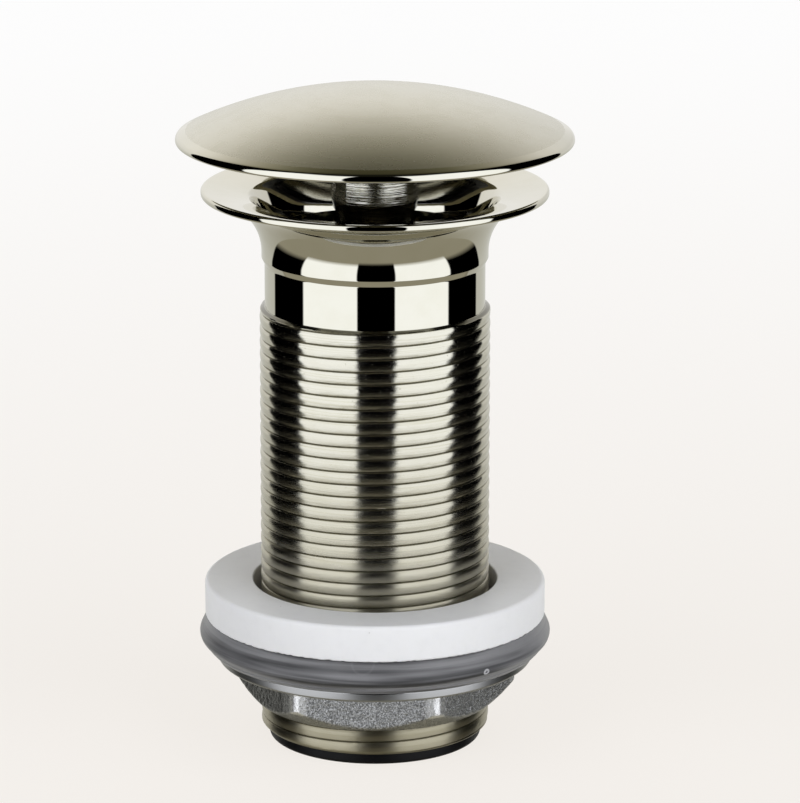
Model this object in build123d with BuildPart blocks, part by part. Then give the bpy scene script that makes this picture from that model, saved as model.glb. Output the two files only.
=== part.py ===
from build123d import *
from math import asin, cos, degrees, radians, sin, sqrt
import os

# Pop-up basin waste with a domed cap on a sprung click cartridge, shown with the cap raised.
# Millimetres, +Z up along the waste's axis, origin at the centre of the tail seal's underside.

# Threaded waste body
thread_radius = 20.955
thread_length = 79.1
tube_wall = 2.955
end_chamfer = 0.6
thread_run_out = 0.9
band_radius = 20.0
band_length = 9.15
neck_radius = 20.55
neck_length = 0.95
step_height = 1.05
flange_radius = 31.45
rim_height = 1.3
rim_round = 0.5
rim_top_land = 1.0
dish_depth = 1.58
lip_round = 1.2
funnel_width = 2.55
funnel_depth = 6.32
funnel_curve = 14.5
ledge_width = 3.2
ledge_height = 0.9
shoulder_width = 1.9
throat_length = 14.4

# Tail seal under the threaded end
tail_seal_depth = 2.3
tail_seal_inset = 1.45
tail_seal_round = 0.7
tail_seal_lip = 1.1
tail_seal_lip_height = 3.0

# Back nut, tapered seal and washer that clamp the basin
free_tail_thread = 5.0
nut_flange_radius = 29.0
nut_flange_height = 2.05
nut_hex_radius = 26.1
nut_hex_height = 7.75
nut_hex_turn = -4.0
nut_foot_radius = 21.9
nut_cone_height = 3.5
nut_corner_round = 1.6
nut_bore_chamfer = 0.6
nut_edge_round = 0.5
nut_clearance = 0.045
seal_height = 6.2
seal_seat_radius = 30.3
seal_belly_radius = 32.6
seal_belly_height = 2.5
seal_belly_round = 1.6
seal_top_radius = 31.1
seal_edge_round = 0.5
seal_clearance = 0.3
washer_height = 6.7
washer_radius = 31.25
washer_hole_radius = 22.4
washer_edge_round = 0.8

# Carrier with four arms inside the tube
carrier_height = 6.0
carrier_ring_wall = 2.2
carrier_arms = 4
carrier_arm_width = 2.6
carrier_hub_radius = 9.0
carrier_edge_round = 0.6

# Click cartridge housing, screwed into the carrier
housing_bore = 4.9
housing_wall = 0.9
shank_wall = 1.3
shank_length = 20.0
housing_flange_radius = 7.6
housing_flange_height = 1.6
gasket_height = 1.0
gasket_margin = 0.4
lock_nut_flats = 16.5
lock_nut_height = 4.0
plug_height = 3.0
plug_slot_width = 1.2
plug_slot_depth = 1.0
pin_radius = 0.7
pin_height = 1.5
pin_recess = 0.1

# Guide bush and its retaining clip in the mouth of the housing
bush_height = 3.0
clip_thickness = 0.8
clip_groove = 0.3
clip_gap = 2.4
clip_edge = 0.4
clip_clearance = 0.2

# Plunger: stem, outer sleeve, seal plate and cap boss
stroke = 8.5
stroke_clearance = 0.3
stem_radius = 2.4
stem_thread_step = 0.6
stem_shoulder_step = 1.3
stem_shoulder_height = 1.0
stem_thread_depth = 4.4
stem_tail = 3.6
collar_step = 1.8
collar_height = 1.2
sleeve_radius = 7.9
sleeve_length = 15.6
sleeve_web = 2.0
sleeve_taper = 1.4
sleeve_taper_height = 4.3
seal_plate_height = 1.0
boss_radius = 9.0
boss_height = 6.0
running_clearance = 0.08

# Cap seal around the plate
cap_seal_width = 5.8
cap_seal_lap = 1.3
cap_seal_top = 0.7
cap_seal_clearance = 0.3

# Domed cap
open_gap = 8.5
cap_radius = 35.95
cap_wall = 1.6
crown_radius = 82.0
cap_edge_round = 1.15
cap_lip_round = 0.47

# Track sleeve, thrust washer and spring
track_length = 11.7
track_clearance = 0.2
track_turn = 60.0
groove_width = 1.7
groove_depth = 0.9
thrust_gap = 0.1
thrust_washer_height = 0.8
wire_radius = 0.4
spring_turns = 5.5
spring_clearance = 0.4

# Heights up the waste body
tube_end = tail_seal_depth
thread_top = tube_end + thread_length
band_top = thread_top + band_length
neck_top = band_top + neck_length
flare_radius = flange_radius - rim_round - neck_radius
rim_bottom = neck_top + flare_radius
rim_top = rim_bottom + rim_height
bore_radius = thread_radius - tube_wall
throat_radius = bore_radius - shoulder_width
mouth_radius = throat_radius + ledge_width
lip_radius = mouth_radius + funnel_width
dish_radius = flange_radius - rim_top_land
dish_bottom = rim_top - dish_depth
ledge_top = dish_bottom - funnel_depth
throat_top = ledge_top - ledge_height
carrier_top = throat_top - throat_length
carrier_bottom = carrier_top - carrier_height

# Heights up the basin clamp
nut_bottom = tube_end + free_tail_thread
nut_flange_bottom = nut_bottom + nut_hex_height
nut_top = nut_flange_bottom + nut_flange_height
seal_top = nut_top + seal_height
washer_top = seal_top + washer_height

# Heights down the cap and the plunger, with the cap raised
cap_bottom = rim_top + open_gap
cap_widest = cap_bottom + cap_lip_round
crown_angle = asin((cap_radius - cap_edge_round) / (crown_radius - cap_edge_round))
crown_centre = cap_widest - (crown_radius - cap_edge_round) * cos(crown_angle)
cap_top = crown_centre + crown_radius
cap_inner_radius = cap_radius - cap_wall
dome_radius = crown_radius - cap_wall
dome_top = crown_centre + dome_radius
boss_bottom = dome_top - boss_height
plate_bottom = boss_bottom - seal_plate_height
web_bottom = plate_bottom - sleeve_web
sleeve_bottom = plate_bottom - sleeve_length
shoulder_bottom = web_bottom - stem_shoulder_height
stem_top = boss_bottom + stem_thread_depth
stem_thread_radius = stem_radius + stem_thread_step
shoulder_radius = stem_radius + stem_shoulder_step
collar_radius = stem_radius + collar_step

# Heights of the cartridge
housing_radius = housing_bore + housing_wall
shank_radius = housing_bore + shank_wall
gasket_top = carrier_top + gasket_height
flange_top = gasket_top + housing_flange_height
housing_bottom = gasket_top - shank_length
housing_top = web_bottom - stroke - stroke_clearance
clip_top = housing_top - clip_edge
bush_top = clip_top - clip_thickness
bush_bottom = bush_top - bush_height
collar_top = bush_bottom - thrust_gap
collar_bottom = collar_top - collar_height
track_top = collar_bottom - thrust_gap
track_bottom = track_top - track_length
thrust_top = track_bottom - thrust_gap
thrust_bottom = thrust_top - thrust_washer_height
stem_bottom = thrust_bottom - stem_tail
plug_top = housing_bottom + plug_height
pin_level = track_bottom + pin_height
track_radius = housing_bore - track_clearance
track_lead = stroke * 360 / track_turn


def dish_height(radius):
    """Height of the flange's dished top at a radius."""
    slope = dish_depth / (dish_radius - lip_radius)
    return rim_top - (dish_radius - radius) * slope


def dome_height(radius):
    """Height of the cap's inner surface at a radius."""
    return crown_centre + sqrt(dome_radius**2 - radius**2)


# Waste body: flange, trumpet neck, plain band and threaded tube turned in one piece
with BuildPart() as waste_body:
    with BuildSketch(Plane.XZ):
        with BuildLine():
            Polyline(
                (bore_radius, tube_end),
                (thread_radius - end_chamfer, tube_end),
                (thread_radius, tube_end + end_chamfer),
                (thread_radius, thread_top - thread_run_out),
                (band_radius, thread_top),
                (band_radius, band_top - step_height),
                (neck_radius, band_top),
                (neck_radius, neck_top),
            )
            CenterArc((neck_radius + flare_radius, neck_top), flare_radius, 180, -90)
            CenterArc((flange_radius - rim_round, rim_bottom + rim_round), rim_round, -90, 90)
            Line((flange_radius, rim_bottom + rim_round), (flange_radius, rim_top - rim_round))
            CenterArc((flange_radius - rim_round, rim_top - rim_round), rim_round, 0, 90)
            Polyline(
                (flange_radius - rim_round, rim_top),
                (dish_radius, rim_top),
                (lip_radius, dish_bottom),
            )
            RadiusArc((lip_radius, dish_bottom), (mouth_radius, ledge_top), -funnel_curve)
            Polyline(
                (mouth_radius, ledge_top),
                (throat_radius, throat_top),
                (throat_radius, carrier_top),
                (bore_radius, carrier_top),
                (bore_radius, tube_end),
            )
        make_face()
        fillet(vertices().sort_by_distance((lip_radius, dish_bottom))[0], radius=lip_round)
    revolve(axis=Axis.Z)
waste_body.part.label = "waste_body"
export_step(waste_body.part, "parts/waste_body.step")

# Tail seal: a rubber ring under the end of the tube with a lip held in its bore
tail_seal_radius = thread_radius - tail_seal_inset
tail_lip_radius = bore_radius - tail_seal_lip
with BuildPart() as tail_seal:
    with BuildSketch(Plane.XZ):
        with BuildLine():
            Polyline(
                (tail_seal_radius, tail_seal_round),
                (tail_seal_radius, tube_end),
                (bore_radius, tube_end),
                (bore_radius, tube_end + tail_seal_lip_height),
                (tail_lip_radius, tube_end + tail_seal_lip_height),
                (tail_lip_radius, 0),
                (tail_seal_radius - tail_seal_round, 0),
            )
            CenterArc((tail_seal_radius - tail_seal_round, tail_seal_round), tail_seal_round, -90, 90)
        make_face()
    revolve(axis=Axis.Z)
tail_seal.part.label = "tail_seal"
export_step(tail_seal.part, "parts/tail_seal.step")

# Back nut: a hexagon with a coned foot under a round flange
nut_bore = thread_radius + nut_clearance
with BuildPart() as backnut:
    with BuildSketch(Plane.XY.offset(nut_bottom)):
        hexagon = RegularPolygon(nut_hex_radius, 6, rotation=nut_hex_turn)
        fillet(hexagon.vertices(), radius=nut_corner_round)
    extrude(amount=nut_hex_height)
    with BuildSketch(Plane.XZ):
        with BuildLine():
            Polyline(
                (0, nut_bottom),
                (nut_foot_radius, nut_bottom),
                (nut_hex_radius, nut_bottom + nut_cone_height),
                (nut_hex_radius, nut_flange_bottom),
                (0, nut_flange_bottom),
                close=True,
            )
        make_face()
    revolve(axis=Axis.Z, mode=Mode.INTERSECT)
    with BuildSketch(Plane.XY.offset(nut_flange_bottom)):
        Circle(nut_flange_radius)
    extrude(amount=nut_flange_height)
    with BuildSketch(Plane.XY.offset(nut_bottom)):
        Circle(nut_bore)
    extrude(amount=nut_top - nut_bottom, mode=Mode.SUBTRACT)
    chamfer(backnut.edges(Select.LAST), length=nut_bore_chamfer)
    rim_edges = backnut.edges().filter_by(GeomType.CIRCLE).sort_by(SortBy.RADIUS)[-2:]
    fillet(rim_edges, radius=nut_edge_round)
backnut.part.label = "backnut"
export_step(backnut.part, "parts/backnut.step")

# Tapered seal: a soft ring with a swollen edge that narrows towards the nut
seal_bore = thread_radius + seal_clearance
with BuildPart() as tapered_seal:
    with BuildSketch(Plane.XZ) as seal_profile:
        with BuildLine():
            Polyline(
                (seal_bore, nut_top),
                (seal_seat_radius, nut_top),
                (seal_belly_radius, nut_top + seal_belly_height),
                (seal_top_radius, seal_top),
                (seal_bore, seal_top),
                close=True,
            )
        make_face()
        outer_corners = seal_profile.vertices().sort_by(Axis.X)
        fillet(outer_corners[-1], radius=seal_belly_round)
        fillet(outer_corners[2:4], radius=seal_edge_round)
    revolve(axis=Axis.Z)
tapered_seal.part.label = "tapered_seal"
export_step(tapered_seal.part, "parts/tapered_seal.step")

# Basin washer: a thick loose ring that presses on the underside of the basin
with BuildPart() as basin_washer:
    with BuildSketch(Plane.XY.offset(seal_top)):
        Circle(washer_radius)
        Circle(washer_hole_radius, mode=Mode.SUBTRACT)
    extrude(amount=washer_height)
    outer_top_edge = basin_washer.edges().group_by(Axis.Z)[-1].sort_by(SortBy.RADIUS)[-1]
    fillet(outer_top_edge, radius=washer_edge_round)
basin_washer.part.label = "basin_washer"
export_step(basin_washer.part, "parts/basin_washer.step")

# Carrier: a ring against the shoulder of the tube, with arms to a threaded hub
with BuildPart() as carrier:
    with BuildSketch(Plane.XY.offset(carrier_bottom)):
        Circle(bore_radius)
        Circle(bore_radius - carrier_ring_wall, mode=Mode.SUBTRACT)
        with PolarLocations(0, carrier_arms, start_angle=45):
            arm_reach = bore_radius - carrier_ring_wall / 2
            Rectangle(arm_reach, carrier_arm_width, align=(Align.MIN, Align.CENTER))
        Circle(carrier_hub_radius)
        Circle(shank_radius, mode=Mode.SUBTRACT)
    extrude(amount=carrier_height)
    bottom_arcs = carrier.edges().group_by(Axis.Z)[0].filter_by(GeomType.CIRCLE)
    hub_arcs = bottom_arcs.group_by(SortBy.RADIUS)[1]
    chamfer(hub_arcs, length=carrier_edge_round)
carrier.part.label = "carrier"
export_step(carrier.part, "parts/carrier.step")

# Hub gasket between the carrier and the flange of the cartridge housing
with BuildPart() as hub_gasket:
    with BuildSketch(Plane.XY.offset(carrier_top)):
        Circle(housing_flange_radius + gasket_margin)
        Circle(shank_radius, mode=Mode.SUBTRACT)
    extrude(amount=gasket_height)
hub_gasket.part.label = "hub_gasket"
export_step(hub_gasket.part, "parts/hub_gasket.step")

# Cartridge housing: guide tube, flange and screwed shank with one straight bore
clip_groove_radius = housing_bore + clip_groove
with BuildPart() as cartridge_housing:
    with BuildSketch(Plane.XZ):
        with BuildLine():
            Polyline(
                (housing_bore, housing_bottom),
                (shank_radius, housing_bottom),
                (shank_radius, gasket_top),
                (housing_flange_radius, gasket_top),
                (housing_flange_radius, flange_top),
                (housing_radius, flange_top),
                (housing_radius, housing_top),
                (housing_bore, housing_top),
                (housing_bore, clip_top),
                (clip_groove_radius, clip_top),
                (clip_groove_radius, bush_top),
                (housing_bore, bush_top),
                close=True,
            )
        make_face()
    revolve(axis=Axis.Z)
    with BuildSketch(Plane.YZ.offset(-housing_radius)):
        with Locations((0, pin_level)):
            Circle(pin_radius)
    extrude(amount=2 * housing_radius, mode=Mode.SUBTRACT)
cartridge_housing.part.label = "cartridge_housing"
export_step(cartridge_housing.part, "parts/cartridge_housing.step")

# Lock nut that draws the housing's flange down on the hub
with BuildPart() as lock_nut:
    with BuildSketch(Plane.XY.offset(carrier_bottom - lock_nut_height)):
        RegularPolygon(lock_nut_flats / 2, 6, major_radius=False)
        Circle(shank_radius, mode=Mode.SUBTRACT)
    extrude(amount=lock_nut_height)
lock_nut.part.label = "lock_nut"
export_step(lock_nut.part, "parts/lock_nut.step")

# Base plug with a screwdriver slot, the seat of the spring
with BuildPart() as base_plug:
    with BuildSketch(Plane.XY.offset(housing_bottom)):
        Circle(housing_bore)
    extrude(amount=plug_height)
    with BuildSketch(Plane.XY.offset(housing_bottom)):
        Rectangle(2 * housing_bore, plug_slot_width)
    extrude(amount=plug_slot_depth, mode=Mode.SUBTRACT)
base_plug.part.label = "base_plug"
export_step(base_plug.part, "parts/base_plug.step")

# Two track pins pressed through the housing wall, with their tips in the grooves
pin_tip = track_radius - groove_depth + track_clearance
pin_outside = housing_radius - pin_recess
with BuildPart() as track_pins:
    for side in (-1, 1):
        with BuildSketch(Plane.YZ.offset(side * pin_tip)):
            with Locations((0, pin_level)):
                Circle(pin_radius)
        extrude(amount=side * (pin_outside - pin_tip))
track_pins.part.label = "track_pins"
export_step(track_pins.part, "parts/track_pins.step")

# Guide bush for the stem
with BuildPart() as guide_bush:
    with BuildSketch(Plane.XY.offset(bush_bottom)):
        Circle(housing_bore)
        Circle(stem_radius + running_clearance, mode=Mode.SUBTRACT)
    extrude(amount=bush_height)
guide_bush.part.label = "guide_bush"
export_step(guide_bush.part, "parts/guide_bush.step")

# Split clip that holds the bush in the housing
with BuildPart() as bush_clip:
    with BuildSketch(Plane.XY.offset(bush_top)):
        Circle(clip_groove_radius)
        Circle(shoulder_radius + clip_clearance, mode=Mode.SUBTRACT)
        Rectangle(clip_groove_radius, clip_gap, align=(Align.MIN, Align.CENTER), mode=Mode.SUBTRACT)
    extrude(amount=clip_thickness)
bush_clip.part.label = "bush_clip"
export_step(bush_clip.part, "parts/bush_clip.step")

# Coil spring between the base plug and the thrust washer
coil_radius = housing_bore - spring_clearance - wire_radius
coil_bottom = plug_top + wire_radius
coil_top = thrust_bottom - thrust_gap - wire_radius
coil_height = coil_top - coil_bottom
with BuildPart() as click_spring:
    with BuildLine(Plane.XY.offset(coil_bottom)):
        coil = Helix(coil_height / spring_turns, coil_height, coil_radius)
    with BuildSketch(Plane(origin=coil @ 0, z_dir=coil % 0)):
        Circle(wire_radius)
    sweep(is_frenet=True)
click_spring.part.label = "click_spring"
export_step(click_spring.part, "parts/click_spring.step")

# Track sleeve: two helical grooves, open at the bottom, run over the track pins
groove_reach = track_bottom - groove_width
groove_end = pin_level + stroke + pin_radius
groove_height = groove_end - groove_reach
groove_start_angle = (groove_reach - pin_level) * track_turn / stroke
with BuildPart() as groove_cutter:
    with BuildLine(Plane.XY.offset(groove_reach)):
        groove_path = Helix(track_lead, groove_height, track_radius)
    with BuildSketch(Plane(origin=groove_path @ 0, x_dir=(1, 0, 0), z_dir=groove_path % 0)):
        Rectangle(2 * groove_depth, groove_width)
    sweep(is_frenet=True)
with BuildPart() as track_sleeve:
    with BuildSketch(Plane.XY.offset(track_bottom)):
        Circle(track_radius)
        Circle(stem_radius + running_clearance, mode=Mode.SUBTRACT)
    extrude(amount=track_length)
    for turn in (0, 180):
        add(groove_cutter.part.rotate(Axis.Z, groove_start_angle + turn), mode=Mode.SUBTRACT)
track_sleeve.part.label = "track_sleeve"
export_step(track_sleeve.part, "parts/track_sleeve.step")

# Thrust washer between the track sleeve and the spring
with BuildPart() as thrust_washer:
    with BuildSketch(Plane.XY.offset(thrust_bottom)):
        Circle(track_radius)
        Circle(stem_radius, mode=Mode.SUBTRACT)
    extrude(amount=thrust_washer_height)
thrust_washer.part.label = "thrust_washer"
export_step(thrust_washer.part, "parts/thrust_washer.step")

# Plunger stem: screwed end, shoulder under the sleeve's web, guide length and stop collar
with BuildPart() as plunger_stem:
    with BuildSketch(Plane.XZ):
        with BuildLine():
            Polyline(
                (0, stem_bottom),
                (stem_radius, stem_bottom),
                (stem_radius, collar_bottom),
                (collar_radius, collar_bottom),
                (collar_radius, collar_top),
                (stem_radius, collar_top),
                (stem_radius, shoulder_bottom),
                (shoulder_radius, shoulder_bottom),
                (shoulder_radius, web_bottom),
                (stem_thread_radius, web_bottom),
                (stem_thread_radius, stem_top),
                (0, stem_top),
                close=True,
            )
        make_face()
    revolve(axis=Axis.Z)
plunger_stem.part.label = "plunger_stem"
export_step(plunger_stem.part, "parts/plunger_stem.step")

# Plunger sleeve: the turned cup seen under the cap, which telescopes over the housing
sleeve_bore = housing_radius + running_clearance
with BuildPart() as plunger_sleeve:
    with BuildSketch(Plane.XZ):
        with BuildLine():
            Polyline(
                (stem_thread_radius, plate_bottom),
                (sleeve_radius, plate_bottom),
                (sleeve_radius, sleeve_bottom + sleeve_taper_height),
                (sleeve_radius - sleeve_taper, sleeve_bottom),
                (sleeve_bore, sleeve_bottom),
                (sleeve_bore, web_bottom),
                (stem_thread_radius, web_bottom),
                close=True,
            )
        make_face()
    revolve(axis=Axis.Z)
plunger_sleeve.part.label = "plunger_sleeve"
export_step(plunger_sleeve.part, "parts/plunger_sleeve.step")

# Seal plate clamped between the boss and the sleeve
cap_seal_inner = lip_radius
seal_plate_radius = cap_seal_inner + cap_seal_lap
with BuildPart() as seal_plate:
    with BuildSketch(Plane.XY.offset(plate_bottom)):
        Circle(seal_plate_radius)
        Circle(stem_thread_radius, mode=Mode.SUBTRACT)
    extrude(amount=seal_plate_height)
seal_plate.part.label = "seal_plate"
export_step(seal_plate.part, "parts/seal_plate.step")

# Cap seal: a rubber ring stretched over the rim of the plate, its face parallel to the dish
cap_seal_outer = cap_seal_inner + cap_seal_width
face_lift = stroke + cap_seal_clearance
cap_seal_crest = boss_bottom + cap_seal_top
with BuildPart() as cap_seal:
    with BuildSketch(Plane.XZ):
        with BuildLine():
            Polyline(
                (cap_seal_inner, dish_height(cap_seal_inner) + face_lift),
                (cap_seal_outer, dish_height(cap_seal_outer) + face_lift),
                (cap_seal_outer, cap_seal_crest),
                (cap_seal_inner, cap_seal_crest),
                (cap_seal_inner, boss_bottom),
                (seal_plate_radius, boss_bottom),
                (seal_plate_radius, plate_bottom),
                (cap_seal_inner, plate_bottom),
                close=True,
            )
        make_face()
    revolve(axis=Axis.Z)
cap_seal.part.label = "cap_seal"
export_step(cap_seal.part, "parts/cap_seal.step")

# Cap boss: the screwed boss soldered to the inside of the dome
with BuildPart() as cap_boss:
    with BuildSketch(Plane.XZ):
        with BuildLine():
            Polyline(
                (0, dome_top),
                (0, stem_top),
                (stem_thread_radius, stem_top),
                (stem_thread_radius, boss_bottom),
                (boss_radius, boss_bottom),
                (boss_radius, dome_height(boss_radius)),
            )
            boss_angle = degrees(asin(boss_radius / dome_radius))
            CenterArc((0, crown_centre), dome_radius, 90 - boss_angle, boss_angle)
        make_face()
    revolve(axis=Axis.Z)
cap_boss.part.label = "cap_boss"
export_step(cap_boss.part, "parts/cap_boss.step")

# Domed cap: a spun shell with a rolled rim
inner_angle = degrees(asin(cap_inner_radius / dome_radius))
crown_sweep = degrees(crown_angle)
with BuildPart() as dome_cap:
    with BuildSketch(Plane.XZ):
        with BuildLine():
            CenterArc((0, crown_centre), crown_radius, 90 - crown_sweep, crown_sweep)
            CenterArc((cap_radius - cap_edge_round, cap_widest), cap_edge_round, 0, 90 - crown_sweep)
            CenterArc((cap_radius - cap_lip_round, cap_widest), cap_lip_round, -90, 90)
            Polyline(
                (cap_radius - cap_lip_round, cap_bottom),
                (cap_inner_radius, cap_bottom),
                (cap_inner_radius, dome_height(cap_inner_radius)),
            )
            CenterArc((0, crown_centre), dome_radius, 90 - inner_angle, inner_angle)
            Line((0, dome_top), (0, cap_top))
        make_face()
    revolve(axis=Axis.Z)
dome_cap.part.label = "dome_cap"
export_step(dome_cap.part, "parts/dome_cap.step")
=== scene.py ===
"""Finished look of a pop-up basin waste: nickel-plated tube and cap, white washer, grey seal, cast back nut.

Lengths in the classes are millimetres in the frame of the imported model: +Z up along the waste's axis, the
origin under the tail seal. Meshes are scaled to metres when they are made.
"""

from __future__ import annotations

import logging
import math
from abc import ABC, abstractmethod
from dataclasses import dataclass, field
from enum import Enum
from functools import cached_property
from typing import Callable, Mapping, Sequence, Union

import bmesh
import bpy
import numpy as np
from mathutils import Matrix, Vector, noise

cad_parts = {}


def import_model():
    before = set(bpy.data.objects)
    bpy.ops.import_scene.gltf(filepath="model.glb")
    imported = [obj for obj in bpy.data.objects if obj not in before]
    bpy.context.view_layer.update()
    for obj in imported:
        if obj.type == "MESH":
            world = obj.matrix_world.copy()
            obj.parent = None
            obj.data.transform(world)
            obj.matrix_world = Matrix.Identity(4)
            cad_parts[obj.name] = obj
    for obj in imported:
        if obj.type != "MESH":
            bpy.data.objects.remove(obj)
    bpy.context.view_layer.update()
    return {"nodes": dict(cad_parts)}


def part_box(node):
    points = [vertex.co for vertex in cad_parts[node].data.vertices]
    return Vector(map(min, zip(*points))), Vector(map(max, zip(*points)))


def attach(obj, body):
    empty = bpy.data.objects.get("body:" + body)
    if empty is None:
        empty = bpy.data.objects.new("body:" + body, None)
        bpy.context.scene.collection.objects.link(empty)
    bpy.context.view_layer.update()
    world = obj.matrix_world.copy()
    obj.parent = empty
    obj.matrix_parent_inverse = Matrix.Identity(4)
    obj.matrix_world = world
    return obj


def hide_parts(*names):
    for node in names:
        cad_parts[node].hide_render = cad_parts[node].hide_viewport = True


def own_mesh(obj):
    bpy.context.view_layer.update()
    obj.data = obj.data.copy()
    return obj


MM = 0.001
PHOTO_WIDTH = 800

# Longest chord on a round in mm, and the largest turns between its points in degrees
CHORD = 0.35
ARC_TURN = 11.0
CORNER_TURN = 13.0
# Points nearer than this are one point, in mm
WELD = 0.0002
# Metres of height that a metre of radius counts for along a turned profile
PROFILE_LEAN = 0.83

Colour = tuple[float, float, float]
Point = tuple[float, float]
Point3 = tuple[float, float, float]
Feed = Union["Signal", float, tuple]

log = logging.getLogger("basin_waste")


class Slot(Enum):
    """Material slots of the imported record."""

    NICKEL = "nickel_plate"
    BRASS = "raw_brass"
    TURNED = "turned_metal"
    SPRING = "spring_steel"
    CAST = "cast_nut_metal"
    WHITE = "white_plastic"
    ACETAL = "cartridge_plastic"
    SILICONE = "grey_silicone"
    RUBBER = "black_rubber"


class Body(Enum):
    """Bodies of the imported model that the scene's own pieces ride on."""

    WASTE = "waste"
    PLUNGER = "plunger"
    SEALS = "basin_seals"
    NUT = "backnut"


class Signal:
    """One output socket of a shader node, with the arithmetic that the finishes use."""

    def __init__(self, sheet: Sheet, socket: bpy.types.NodeSocket) -> None:
        """Wraps an output socket of a node on a sheet."""
        self.sheet = sheet
        self.socket = socket

    def _math(self, operation: str, *terms: Feed) -> Signal:
        """Returns the result of a Math node on values or links, in the order of its sockets."""
        return self.sheet.node("ShaderNodeMath", {"operation": operation}, dict(enumerate(terms)))

    def __add__(self, other: Feed) -> Signal:
        """Returns self + other."""
        return self._math("ADD", self, other)

    def __sub__(self, other: Feed) -> Signal:
        """Returns self - other."""
        return self._math("SUBTRACT", self, other)

    def __rsub__(self, other: Feed) -> Signal:
        """Returns other - self."""
        return self._math("SUBTRACT", other, self)

    def __mul__(self, other: Feed) -> Signal:
        """Returns self * other."""
        return self._math("MULTIPLY", self, other)

    __radd__ = __add__
    __rmul__ = __mul__

    def __abs__(self) -> Signal:
        """Returns the size of self without its sign."""
        return self._math("ABSOLUTE", self)

    def asin(self) -> Signal:
        """Returns the arc sine of self, in radians."""
        return self._math("ARCSINE", self)

    def atan2(self, other: Feed) -> Signal:
        """Returns the angle whose tangent is self / other, in radians."""
        return self._math("ARCTAN2", self, other)

    def ramp(self, low: float, high: float) -> Signal:
        """Returns a smooth step from 0 where self is low to 1 where it is high; low may be above high."""
        values = {"Value": self, "From Min": low, "From Max": high}
        return self.sheet.node("ShaderNodeMapRange", {"interpolation_type": "SMOOTHSTEP"}, values)

    def above(self, level: float, soft: float) -> Signal:
        """Returns 1 above a level in millimetres and 0 below it, eased over soft on either side."""
        return self.ramp((level - soft) * MM, (level + soft) * MM)

    def below(self, level: float, soft: float) -> Signal:
        """Returns 1 below a level in millimetres and 0 above it, eased over soft on either side."""
        return self.ramp((level + soft) * MM, (level - soft) * MM)

    def part(self, output: int | str) -> Signal:
        """Returns another output of the node that self comes from."""
        return Signal(self.sheet, self.socket.node.outputs[output])


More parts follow.
